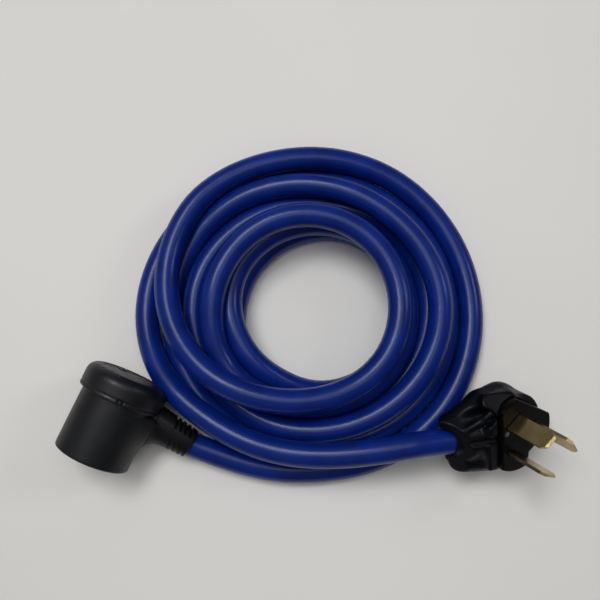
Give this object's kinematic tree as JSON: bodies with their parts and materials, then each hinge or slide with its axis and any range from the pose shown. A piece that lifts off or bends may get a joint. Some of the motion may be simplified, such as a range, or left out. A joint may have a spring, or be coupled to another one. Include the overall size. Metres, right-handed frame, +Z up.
{
  "type": "shore power cord",
  "caption": "Coiled thick blue power cord with a round black elbow connector and an angled black plug with three flat brass blades.",
  "frame": {"origin": "on the floor that the cord lies on, midway across the connector and the plug", "axes": "+X from the connector towards the plug, +Y from the two ends towards the coil, +Z up from the floor"},
  "size_m": [0.3145, 0.214, 0.0669],
  "materials": {
    "connector_black": "satin moulded, fine grain",
    "insert_black": "matte moulded",
    "boot_rubber": "matte",
    "plug_black": "semi-gloss moulded",
    "plug_face_black": "gloss moulded",
    "seal_rubber": "matte",
    "blade_brass": "polished, drawn along the blade",
    "contact_brass": "plain",
    "screw_steel": "plain",
    "face_screw_steel": "nickel plated",
    "wire_black": "smooth insulation",
    "wire_red": "smooth insulation",
    "wire_white": "smooth insulation",
    "jacket_blue": "semi-gloss jacket"
  },
  "bodies": {
    "root": {"connector_housing": "connector_black", "connector_cap": "connector_black", "connector_cap_seal": "seal_rubber", "connector_face_insert": "insert_black", "contact_hot_x": "contact_brass", "contact_hot_y": "contact_brass", "contact_neutral": "contact_brass", "contact_terminal_screws": "screw_steel", "connector_cap_screws": "screw_steel", "connector_cord_ferrule": "screw_steel", "connector_strain_relief": "boot_rubber", "connector_wire_hot_x": "wire_black", "connector_wire_hot_y": "wire_red", "connector_wire_neutral": "wire_white", "plug_rear_shell": "plug_black", "plug_face_plate": "plug_face_black", "plug_gasket": "seal_rubber", "blade_hot_x": "blade_brass", "blade_hot_y": "blade_brass", "blade_neutral": "blade_brass", "plug_terminal_screws": "screw_steel", "plug_face_screw": "face_screw_steel", "plug_cord_ferrule": "screw_steel", "plug_cord_grommet": "seal_rubber", "plug_wire_hot_x": "wire_black", "plug_wire_hot_y": "wire_red", "plug_wire_neutral": "wire_white", "cord_lead_connector": "jacket_blue", "cord_coil": "jacket_blue", "cord_lead_plug": "jacket_blue"}
  },
  "joints": []
}
